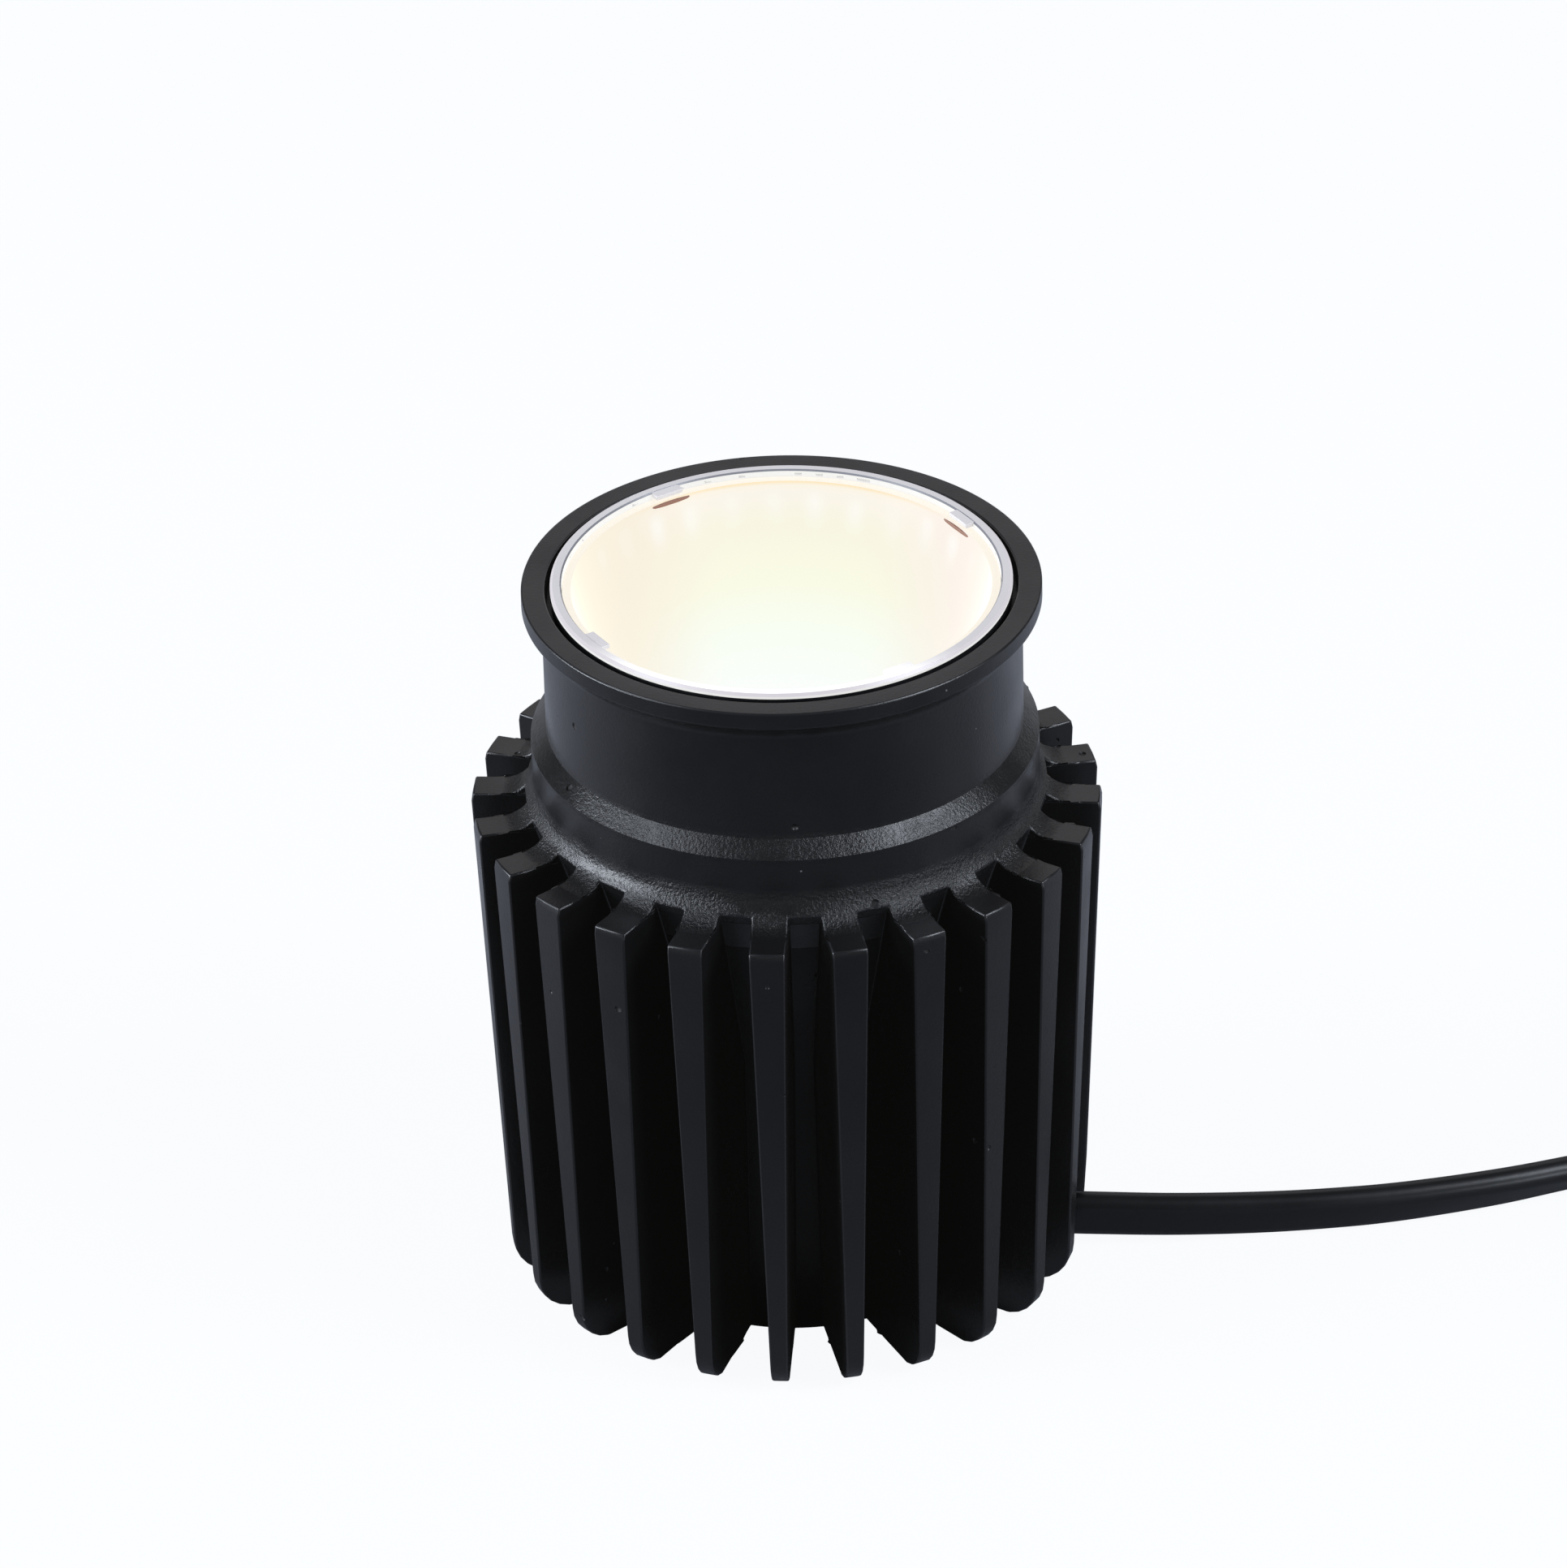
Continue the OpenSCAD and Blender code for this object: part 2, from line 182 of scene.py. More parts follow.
class LightSettings(bpy.types.PropertyGroup):
    """The lit cup and its cover"""
    glow: bpy.props.FloatProperty(
        name="Glow", description="Strength of the lit cup", default=0.97, min=0)
    source: bpy.props.FloatProperty(
        name="Source", description="Strength of the light source", default=8.0, min=0)
    # these are colours of the cup's painted glow
    cream: bpy.props.FloatVectorProperty(
        name="Cream", description="Colour of the cup halfway up", subtype="COLOR",
        size=3, default=(0.96, 0.97, 0.79))
    peach: bpy.props.FloatVectorProperty(
        name="Peach", description="Colour of the cup at its left side", subtype="COLOR",
        size=3, default=(0.945, 0.865, 0.72))
    blush: bpy.props.FloatVectorProperty(
        name="Blush", description="Colour of the cup at its right side", subtype="COLOR",
        size=3, default=(0.955, 0.875, 0.81))
    rim: bpy.props.FloatVectorProperty(
        name="Rim", description="Colour of the cup under its rim", subtype="COLOR",
        size=3, default=(1.0, 0.8, 0.48))
    ring: bpy.props.FloatVectorProperty(
        name="Cover edge", description="Colour of the cover's frosted edge", subtype="COLOR",
        size=3, default=(0.46, 0.44, 0.43))


class LeadSettings(bpy.types.PropertyGroup):
    """The flat lead"""
    width: bpy.props.FloatProperty(
        name="Width", description="Width of the flat lead", default=4.6 * MM, unit="LENGTH")
    thickness: bpy.props.FloatProperty(
        name="Thickness", description="Thickness of the flat lead", default=2.7 * MM, unit="LENGTH")
    colour: bpy.props.FloatVectorProperty(
        name="Jacket", description="Colour of the jacket", subtype="COLOR", size=3,
        default=(0.007, 0.0075, 0.0085))


class StageSettings(bpy.types.PropertyGroup):
    """Camera, floor and lamps"""
    distance: bpy.props.FloatProperty(
        name="Distance", description="Camera to the module's foot", default=0.984, unit="LENGTH")
    elevation: bpy.props.FloatProperty(
        name="Elevation", description="Camera above the floor", default=math.radians(33.64),
        subtype="ANGLE")
    azimuth: bpy.props.FloatProperty(
        name="Azimuth", description="Camera round the module", default=math.radians(4.25),
        subtype="ANGLE")
    tilt: bpy.props.FloatProperty(
        name="Tilt", description="Camera turned up from the foot", default=math.radians(2.6145),
        subtype="ANGLE")
    yaw: bpy.props.FloatProperty(
        name="Yaw", description="Camera turned sideways from the foot",
        default=math.radians(-0.0165), subtype="ANGLE")
    roll: bpy.props.FloatProperty(
        name="Roll", description="Camera turned about its axis", default=math.radians(1.42),
        subtype="ANGLE")
    floor: bpy.props.FloatVectorProperty(
        name="Floor", description="Colour of the floor", subtype="COLOR", size=3,
        default=(0.97, 0.985, 1.0))
    bounce: bpy.props.FloatVectorProperty(
        name="Bounce", description="Colour that the floor in front throws back onto the module",
        subtype="COLOR", size=3, default=(0.115, 0.122, 0.142))
    far_bounce: bpy.props.FloatVectorProperty(
        name="Far bounce", description="Colour that the floor behind throws back onto the module",
        subtype="COLOR", size=3, default=(0.5, 0.51, 0.56))
    key: bpy.props.FloatProperty(
        name="Key", description="Power that each lamp has its share of", default=2.2, unit="POWER")


# Node helpers

def new_material(name):
    """A material, its node tree and its Principled shader"""
    mat = bpy.data.materials.new(name)
    mat.use_nodes = True
    return mat, mat.node_tree, mat.node_tree.nodes["Principled BSDF"]


def shade(bsdf, **inputs):
    """Sets sockets of a shader by name; spaces are written as underscores"""
    for key, value in inputs.items():
        if hasattr(value, "__len__") and len(value) == 3:
            value = (*value, 1.0)
        bsdf.inputs[key.replace("_", " ")].default_value = value


def group_of(name, inputs, outputs):
    """A shader node group of number sockets, and its two end nodes"""
    group = bpy.data.node_groups.new(name, "ShaderNodeTree")
    for label, default in inputs.items():
        socket = group.interface.new_socket(label, in_out="INPUT", socket_type="NodeSocketFloat")
        socket.default_value = default
    for label in outputs:
        group.interface.new_socket(label, in_out="OUTPUT", socket_type="NodeSocketFloat")
    return group, group.nodes.new("NodeGroupInput"), group.nodes.new("NodeGroupOutput")


def node(tree, kind, **settings):
    """A new node; settings are its attributes, or its inputs where it has no such attribute"""
    made = tree.nodes.new(kind)
    for key, value in settings.items():
        if hasattr(made, key):
            setattr(made, key, value)
        else:
            made.inputs[key.replace("_", " ")].default_value = value
    return made


def maths(tree, operation, a, b=0.5):
    """A math node on two values or sockets"""
    made = node(tree, "ShaderNodeMath", operation=operation)
    for socket, value in zip(made.inputs, (a, b)):
        if isinstance(value, bpy.types.NodeSocket):
            tree.links.new(value, socket)
        else:
            socket.default_value = value
    return made.outputs[0]


def blend(tree, factor, a, b):
    """A colour mix of two colours or sockets by a factor socket"""
    made = node(tree, "ShaderNodeMix", data_type="RGBA", clamp_factor=True)
    tree.links.new(factor, made.inputs["Factor"])
    for key, value in (("A", a), ("B", b)):
        if isinstance(value, bpy.types.NodeSocket):
            tree.links.new(value, made.inputs[key])
        else:
            made.inputs[key].default_value = (*value, 1.0)
    return made.outputs["Result"]


def own_place(tree):
    """The socket of a point's place in its own object"""
    return node(tree, "ShaderNodeTexCoord").outputs["Object"]


def axes(tree):
    """The X, Y and Z sockets of a point's place in its own object"""
    split = node(tree, "ShaderNodeSeparateXYZ")
    tree.links.new(own_place(tree), split.inputs["Vector"])
    return split.outputs


def span(tree, value, low, high, to=(0.0, 1.0), smooth=False):
    """A value socket taken from one range to another, and held at its ends"""
    made = node(tree, "ShaderNodeMapRange", From_Min=low, From_Max=high, To_Min=to[0], To_Max=to[1])
    if smooth:
        made.interpolation_type = "SMOOTHSTEP"
    tree.links.new(value, made.inputs["Value"])
    return made.outputs["Result"]


def noise(tree, scale, detail=3.0, rough=0.55):
    """The factor of a noise texture"""
    made = node(tree, "ShaderNodeTexNoise", Scale=scale, Detail=detail, Roughness=rough)
    tree.links.new(own_place(tree), made.inputs["Vector"])
    return made.outputs["Fac"]


def cells(tree, scale):
    """The distance to the nearest point of a cell texture"""
    made = node(tree, "ShaderNodeTexVoronoi", Scale=scale, Randomness=1.0)
    tree.links.new(own_place(tree), made.inputs["Vector"])
    return made.outputs["Distance"]


def give(group, end, **results):
    """Links what a group works out to its outputs"""
    for key, socket in results.items():
        group.links.new(socket, end.inputs[key])


def show_mix(tree, factor, first, second):
    """Makes a mix of two shaders, by a factor socket, a material's surface"""
    mix = node(tree, "ShaderNodeMixShader")
    for i, socket in enumerate((factor, first, second)):
        tree.links.new(socket, mix.inputs[i])
    tree.links.new(mix.outputs["Shader"], tree.nodes["Material Output"].inputs["Surface"])


def cast_grain_group():
    """Fine grain, broad patches, sparse pits and pale specks of a coated casting"""
    group, start, end = group_of("Cast Grain", {"Amount": 0.4, "Roughness": 0.45},
                                 ("Height", "Roughness", "Patch", "Speck"))
    fine = noise(group, 3000, 3.0, 0.65)
    broad = noise(group, 120, 4.0)
    pit = span(group, cells(group, 250.0), 0.04, 0.1, to=(1.0, 0.0))
    rare = maths(group, "GREATER_THAN", noise(group, 170, 1.0), 0.54)
    pits = maths(group, "MULTIPLY", pit, rare)
    uneven = span(group, broad, 0.4, 0.6, to=(0.4, 1.0))
    amount = maths(group, "MULTIPLY", start.outputs["Amount"], uneven)
    grain = maths(group, "MULTIPLY", fine, amount)
    spread = maths(group, "MULTIPLY", maths(group, "SUBTRACT", broad, 0.5), 0.25)
    dull = maths(group, "ADD", spread, maths(group, "MULTIPLY", pits, 0.5))
    near = maths(group, "LESS_THAN", cells(group, 330.0), 0.035)
    few = maths(group, "GREATER_THAN", noise(group, 190, 1.0), 0.6)
    give(group, end,
         Height=maths(group, "SUBTRACT", grain, maths(group, "MULTIPLY", pits, 2.5)),
         Roughness=maths(group, "ADD", start.outputs["Roughness"], dull),
         Patch=broad, Speck=maths(group, "MULTIPLY", near, few))
    return group


def moulded_group():
    """Light unevenness of a moulded or coated surface, for bump and roughness"""
    group, start, end = group_of("Moulded Surface", {"Scale": 900.0, "Roughness": 0.5},
                                 ("Height", "Roughness", "Patch"))
    fine = node(group, "ShaderNodeTexNoise", Detail=3.0)
    group.links.new(own_place(group), fine.inputs["Vector"])
    group.links.new(start.outputs["Scale"], fine.inputs["Scale"])
    broad = noise(group, 150, 3.0)
    spread = maths(group, "MULTIPLY", maths(group, "SUBTRACT", broad, 0.5), 0.2)
    give(group, end, Height=fine.outputs["Fac"], Patch=broad,
         Roughness=maths(group, "ADD", start.outputs["Roughness"], spread))
    return group


def shared(name, make):
    """A shared node group, made on first use"""
    return bpy.data.node_groups.get(name) or make()


def surfaced(name, colour, group, depth, dark=0.8, values=None, **inputs):
    """A Principled material whose colour, roughness and bump come from a shared group"""
    mat, tree, bsdf = new_material(name)
    shade(bsdf, **inputs)
    detail = node(tree, "ShaderNodeGroup", node_tree=group)
    for key, value in (values or {}).items():
        detail.inputs[key].default_value = value
    tint = blend(tree, detail.outputs["Patch"], [c * dark for c in colour], colour)
    tree.links.new(tint, bsdf.inputs["Base Color"])
    tree.links.new(detail.outputs["Roughness"], bsdf.inputs["Roughness"])
    bump = node(tree, "ShaderNodeBump", Strength=1.0, Distance=depth)
    tree.links.new(detail.outputs["Height"], bump.inputs["Height"])
    tree.links.new(bump.outputs["Normal"], bsdf.inputs["Normal"])
    return mat


def moulded(name, colour, roughness=0.5, depth=0.02 * MM, scale=900.0, **inputs):
    """A moulded plastic, rubber or metal finish"""
    return surfaced(name, colour, shared("Moulded Surface", moulded_group), depth,
                    values={"Scale": scale, "Roughness": roughness}, **inputs)


# Mesh helpers

def polar(radius, angle, z):
    """A point in millimetres from its radius, angle and height"""
    return Vector((radius * math.cos(angle), radius * math.sin(angle), z))


def object_from(bm, name):
    """An object from a filled bmesh, its faces turned outwards"""
    bmesh.ops.recalc_face_normals(bm, faces=bm.faces)
    mesh = bpy.data.meshes.new(name)
    bm.to_mesh(mesh)
    bm.free()
    obj = bpy.data.objects.new(name, mesh)
    bpy.context.collection.objects.link(obj)
    return obj


def rings_mesh(name, rings, smooth_angle=30.0, attributes=None):
    """An object from rings of points in millimetres, each ring joined to the next"""
    bm = bmesh.new()
    layers = {key: bm.verts.layers.float.new(key) for key in (attributes or {})}
    rows = []
    for i, ring in enumerate(rings):
        row = [bm.verts.new(p * MM) for p in ring]
        for key, layer in layers.items():
            for v in row:
                v[layer] = attributes[key][i]
        rows.append(row)
    for low, high in zip(rows, rows[1:]):
        for i in range(len(low)):
            j = (i + 1) % len(low)
            bm.faces.new((low[i], low[j], high[j], high[i]))
    bmesh.ops.remove_doubles(bm, verts=bm.verts, dist=MERGE)
    bmesh.ops.dissolve_degenerate(bm, edges=bm.edges, dist=MERGE)
    obj = object_from(bm, name)
    obj.data.polygons.foreach_set("use_smooth", [True] * len(obj.data.polygons))
    obj.data.set_sharp_from_angle(angle=math.radians(smooth_angle))
    return obj


def turned(name, profile):
    """A turned object from its profile of radii and heights in millimetres"""
    angles = [2 * math.pi * i / SEGMENTS for i in range(SEGMENTS)]
    return rings_mesh(name, [[polar(r, a, z) for a in angles] for r, z in profile])


def arc_blocks(name, width, inner, outer, low, high):
    """Small blocks round the cover's edge, one at each tab"""
    bm = bmesh.new()
    half = width / 2
    for k in range(TABS):
        turn = Matrix.Rotation(TAB_ANGLE + k * 2 * math.pi / TABS, 3, "Z")
        a, b, c, d, e, f, g, h = (
            bm.verts.new(turn @ Vector((x, y, z)) * MM)
            for z in (low, high) for y in (-half, half) for x in (inner, outer))
        for face in ((a, c, d, b), (e, f, h, g), (a, b, f, e), (c, g, h, d), (a, e, g, c),
                     (b, d, h, f)):
            bm.faces.new(face)
    return object_from(bm, name)


def arc(centre, radius, start, stop, steps):
    """Points of an arc, angles in degrees"""
    return [(centre[0] + radius * math.cos(math.radians(start + (stop - start) * i / steps)),
             centre[1] + radius * math.sin(math.radians(start + (stop - start) * i / steps)))
            for i in range(steps + 1)]


def soften(obj, width, angle=35.0, edge_material=-1):
    """Rounds the sharp edges of a piece"""
    bevel = obj.modifiers.new("Rounded edges", "BEVEL")
    bevel.width = width
    bevel.segments = 2
    bevel.limit_method = "ANGLE"
    bevel.angle_limit = math.radians(angle)
    bevel.use_clamp_overlap = False
    bevel.material = edge_material
    weighted = obj.modifiers.new("Weighted normals", "WEIGHTED_NORMAL")
    weighted.keep_sharp = True


def finish_piece(obj, slot, nodes, *materials):
    """Paints a piece, fixes it to the module and lets it stand for its CAD nodes"""
    for mat in materials:
        obj.data.materials.append(mat)
    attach(obj, "root")
    if nodes:
        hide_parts(*nodes)


def paint_node(name, mat):
    """Gives a CAD node that keeps its shape a procedural finish"""
    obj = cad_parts[name]
    obj.data.materials.clear()
    obj.data.materials.append(mat)


# The casting

def fin_half(z):
    """Half of a fin's thickness at a height"""
    return (FIN_BASE_T + (FIN_TOP_T - FIN_BASE_T) * z / FIN_TOP_Z) / 2


def fin_edge(z):
    """Radius of the fins' outer edge at a height"""
    return FIN_BASE_R + (FIN_TOP_R - FIN_BASE_R) * z / FIN_TOP_Z


def core_radius(z):
    """Radius of the core between the fins at a height"""
    if z < CORE_WAIST_Z:
        return CORE_BASE_R + (CORE_WAIST_R - CORE_BASE_R) * z / CORE_WAIST_Z
    flare = (CORE_TOP_R - CORE_WAIST_R) / (FIN_TOP_Z - CORE_WAIST_Z)
    return CORE_WAIST_R + flare * (z - CORE_WAIST_Z)


def shoulder_point(angle):
    """A point of the hollow shoulder, from 0 at the wall to 90 at the fin tops"""
    a = math.radians(angle)
    return (WALL_R + SHOULDER * (1 - math.cos(a)), FIN_TOP_Z + SHOULDER * (1 - math.sin(a)))


def slot_angle():
    """Where on the shoulder the slots between the fins begin"""
    low, high = 0.0, 90.0
    for _ in range(40):
        mid = (low + high) / 2
        r, z = shoulder_point(mid)
        low, high = (mid, high) if r < core_radius(z) else (low, mid)
    return low


def fin_levels():
    """Outline of a fin, from the core at the floor, round its outside, to the shoulder"""
    centre = (fin_edge(FIN_CORNER) - FIN_CORNER, FIN_CORNER)
    facet = FIN_TOP_Z - FIN_FACET_H
    opening = slot_angle()
    return ([(CORE_BASE_R, 0), (FIN_FOOT_R, 0)]
            + arc(centre, FIN_CORNER, -90, 0, 6)
            + [(fin_edge(z), z) for z in FIN_LEVELS]
            + [(fin_edge(facet), facet), (FIN_TOP_R - FIN_FACET_W, FIN_TOP_Z)]
            + [(FIN_FLAT_R, FIN_TOP_Z)]
            + [shoulder_point(90 + (opening - 90) * i / 4) for i in range(5)])


def upper_levels():
    """Outline above the slots: shoulder, wall, band, neck, flange, recess and hollow"""
    opening = slot_angle()
    slope = HEIGHT - FLANGE_H - FLANGE_SLOPE
    band = NECK_Z - (WALL_R - NECK_R)
    shoulder = [shoulder_point(opening * (1 - i / 5)) for i in range(1, 4)]
    wall = [shoulder_point(CREASE)[1], FIN_TOP_Z + SHOULDER + EDGE_LOOP, band - EDGE_LOOP, band]
    neck = [NECK_Z, NECK_Z + EDGE_LOOP, (NECK_Z + slope) / 2, slope]
    return (shoulder
            + [(WALL_R, z) for z in wall]
            + [(NECK_R, z) for z in neck]
            + [(NECK_R + out, slope + up) for out, up in FLANGE_CURVE]
            + [(FLANGE_R, HEIGHT - FLANGE_H), (FLANGE_R, HEIGHT), (BORE_R, HEIGHT)]
            + [(BORE_R, LEDGE_Z), (LEDGE_R, LEDGE_Z), (LEDGE_R, HOLLOW_Z)]
            + [(SEAT_R, FUNNEL_Z), (SEAT_R, SEAT_Z), (0, SEAT_Z)])


def fin_columns(r, z, floor, pitch):
    """Points across one fin and half a slot on each side of it, the fin along +X"""
    foot = max(z, floor)
    half = fin_half(foot)
    core, root = core_radius(z), core_radius(foot)
    root_x = math.sqrt(root ** 2 - half ** 2)
    tip = max(r, root)
    tip_x = math.sqrt(tip ** 2 - half ** 2)
    edge = pitch / 2
    between = (edge + math.asin(half / root)) / 2
    side = [root_x + (tip_x - root_x) * t / 3 for t in range(4)]
    return ([polar(core, -edge, z), polar(core, -between, z)]
            + [Vector((x, -half, foot)) for x in side]
            + [Vector((tip, 0, foot))]
            + [Vector((x, half, foot)) for x in reversed(side)]
            + [polar(core, between, z)])


def casting_rings(count):
    """Rings of the whole casting from the base pocket to the seat, and the grain of each"""
    pitch = 2 * math.pi / count
    columns = 12

    def plain(r, z):
        return [polar(r, pitch * (i / columns - 0.5), z) for i in range(count * columns)]

    def finned(r, z):
        ring = []
        for k in range(count):
            turn = Matrix.Rotation(pitch * k, 3, "Z")
            ring += [turn @ p for p in fin_columns(r, z, 0 if k else OUTLET_Z, pitch)]
        return ring

    base = [(0, POCKET_Z), (POCKET_R, POCKET_Z), (POCKET_R, COVER_Z), (COVER_R, COVER_Z),
            (COVER_R, 0)]
    fins, upper = fin_levels(), upper_levels()
    rings = [plain(*p) for p in base] + [finned(*p) for p in fins] + [plain(*p) for p in upper]
    # the shoulder, and the two edges of the band above the wall
    rough = {p: SHOULDER_GRAIN for p in fins[-4:] + upper[:4]}
    rough.update({p: BAND_GRAIN for p in upper[6:8]})
    return rings, [rough.get(p, FINE_GRAIN) for p in base + fins + upper]


def casting_material(name, colour, settings, shine=0.5):
    """The black coat, with coarser grain where the casting was left rough, and a faint painted glow
    """
    # the coat's faint even emission is painted light, a dim glow in place of light that reaches the
    # dark slots
    mat = surfaced(name, colour, shared("Cast Grain", cast_grain_group), settings.grain,
                   dark=0.75, values={"Roughness": settings.roughness}, Specular_IOR_Level=shine,
                   Emission_Color=(0.0022, 0.0022, 0.002), Emission_Strength=1.0)
    tree = mat.node_tree
    place = node(tree, "ShaderNodeAttribute", attribute_name="grain")
    detail = next(n for n in tree.nodes if n.type == "GROUP")
    tree.links.new(place.outputs["Fac"], detail.inputs["Amount"])
    coat = tree.nodes["Principled BSDF"].inputs["Base Color"]
    dusty = blend(tree, detail.outputs["Speck"], coat.links[0].from_socket, (0.16, 0.16, 0.17))
    tree.links.new(dusty, coat)
    return mat


class LEDMOD_OT_casting(bpy.types.Operator):
    """Build the finned heat sink and the cover of its base"""
    bl_idname = "ledmod.casting"
    bl_label = "Build Casting"

    def execute(self, context):
        settings = context.scene.ledmod_casting
        rings, grain = casting_rings(settings.fin_count)
        sink = rings_mesh("casting", rings, attributes={"grain": grain})
        coat = casting_material("Black coat", settings.colour, settings)
        wear_and_highlight = casting_material("Worn edge with painted highlight", settings.wear_and_highlight, settings)
        shaded_coat = casting_material("Coat with painted shade", settings.colour, settings, 0.15)
        finish_piece(sink, "black_casting", ["heat_sink"], coat, wear_and_highlight, shaded_coat)
        # faces in the slots between the fins and in the recess take the coat with less shine:
        # painted shade where less light reaches
        for face in sink.data.polygons:
            place = face.center / MM
            limit = core_radius(place.z) + 1 if place.z < FIN_TOP_Z else BORE_R + 0.01
            in_slot = place.z < FIN_TOP_Z - 4
            in_recess = LEDGE_Z - 0.1 < place.z < HEIGHT - 0.1
            if place.xy.length < limit and (in_slot or in_recess):
                face.material_index = 2
        # the rounded edge faces take the lighter edge colour: wear and a painted highlight
        soften(sink, settings.edge, angle=50, edge_material=1)
        cover = moulded("Cover plastic", (0.012, 0.012, 0.013), 0.5, 0.04 * MM, 1800)
        paint_node("base_cover", cover)
        return {"FINISHED"}


# The lit cup

def glow_group():
    """Light in the cup: how far up and to which side a point lies, and the bright spots round it"""
    group, start, end = group_of("Cup Light", {"Spots": 30.0}, ("Rise", "Side", "Across", "Spot"))
    place = axes(group)
    rise = span(group, place["Z"], 0.05, CUP_HIGH[2] + RIM_LIFT * MM)
    side = span(group, maths(group, "ABSOLUTE", place["X"]), 0.006, 0.018, smooth=True)
    across = span(group, place["X"], -0.018, 0.018)
    angle = maths(group, "ARCTAN2", place["Y"], place["X"])
    wave = maths(group, "COSINE", maths(group, "MULTIPLY", angle, start.outputs["Spots"]))
    # this node's third input stays at 0.5, so the wave runs from 0 to 1
    dots = maths(group, "POWER", maths(group, "MULTIPLY_ADD", wave, 0.5), 2.0)
    behind = span(group, place["Y"], 0.004, 0.014, smooth=True)
    uneven = span(group, noise(group, 140, 1.0), 0.25, 0.6)
    dots = maths(group, "MULTIPLY", dots, maths(group, "MULTIPLY", behind, uneven))
    band = span(group, rise, 0.78, 0.92, smooth=True)
    fade = span(group, rise, 0.92, 0.985, to=(0.65, 0.0), smooth=True)
    lit = maths(group, "MULTIPLY", band, fade)
    give(group, end, Rise=rise, Side=side, Across=across, Spot=maths(group, "MULTIPLY", dots, lit))
    return group


def glow_material(settings):
    """The lit inside of the cup: white low down, cream above, warmer at the sides and the rim"""
    mat, tree, bsdf = new_material("Lit reflector")
    light = node(tree, "ShaderNodeGroup", node_tree=shared("Cup Light", glow_group)).outputs
    ramp = node(tree, "ShaderNodeValToRGB")
    stops = ramp.color_ramp.elements
    stops[0].position, stops[0].color = 0.2, (0.97, 1.0, 0.98, 1.0)
    stops[1].position, stops[1].color = 1.0, (*settings.rim, 1.0)
    tones = ((0.42, (0.945, 1.0, 0.9)), (0.62, settings.cream), (0.84, (0.95, 0.93, 0.77)),
             (0.96, (0.97, 0.92, 0.83)), (0.985, (0.98, 0.92, 0.8)))
    for place, colour in tones:
        stops.new(place).color = (*colour, 1.0)
    tree.links.new(light["Rise"], ramp.inputs["Fac"])
    warm = blend(tree, light["Across"], settings.peach, settings.blush)
    sides = blend(tree, light["Side"], ramp.outputs["Color"], warm)
    lit = blend(tree, light["Spot"], sides, (1.0, 1.0, 0.97))
    # the inside of the cup is painted light: it glows by its own emission, with painted warmer
    # sides, a warm rim and bright spots
    tree.links.new(lit, bsdf.inputs["Emission Color"])
    shade(bsdf, Base_Color=(0.015, 0.014, 0.013), Emission_Strength=settings.glow, Roughness=0.3,
          Specular_IOR_Level=0.2)
    return mat


def clear_material():
    """Clear plastic that lets the light straight through and glints at its surface"""
    mat, tree, _ = new_material("Clear cover")
    through = node(tree, "ShaderNodeBsdfTransparent", Color=(1.0, 1.0, 1.0, 1.0))
    shine = node(tree, "ShaderNodeBsdfGlossy", Roughness=0.06)
    facing = node(tree, "ShaderNodeLayerWeight", Blend=0.5)
    glint = maths(tree, "MULTIPLY", maths(tree, "POWER", facing.outputs["Facing"], 4.0), 0.12)
    show_mix(tree, glint, through.outputs["BSDF"], shine.outputs["BSDF"])
    return mat


def frosted_material(name, colour, dim):
    """Frosted plastic of the cover, filled with the cup's light where it lies before the cup"""
    mat = moulded(name, colour, 0.3, Emission_Strength=1.0)
    tree = mat.node_tree
    front = span(tree, axes(tree)["Y"], -0.02, -0.012, to=(1.0, 0.0), smooth=True)
    lit = blend(tree, front, dim, (0.85, 0.85, 0.83))
    tree.links.new(lit, tree.nodes["Principled BSDF"].inputs["Emission Color"])
    return mat


def cup_profile():
    """The cup's inside, rim and outside, in millimetres"""
    foot_z, rim_z = CUP_LOW[2] / MM, CUP_HIGH[2] / MM
    top_z = rim_z + RIM_LIFT
    rim_r = CUP_HIGH[0] / MM
    step_r = rim_r - RIM_WIDTH

    def radius(z):
        rise = (z - foot_z) / (top_z - foot_z)
        return math.sqrt(CUP_FOOT_R ** 2 + (CUP_TOP_R ** 2 - CUP_FOOT_R ** 2) * rise)

    heights = [foot_z + (top_z - foot_z) * (i / CUP_STEPS) ** 1.5 for i in range(CUP_STEPS + 1)]
    inside = [(radius(z), z) for z in heights]
    outside = [(radius(z) + CUP_WALL, z) for z in reversed(heights[:-3])]
    rim = [(step_r, top_z), (step_r, rim_z), (rim_r, rim_z), (rim_r, LEDGE_Z),
           (LEDGE_R - 0.2, LEDGE_Z)]
    return inside + rim + outside + [inside[0]]


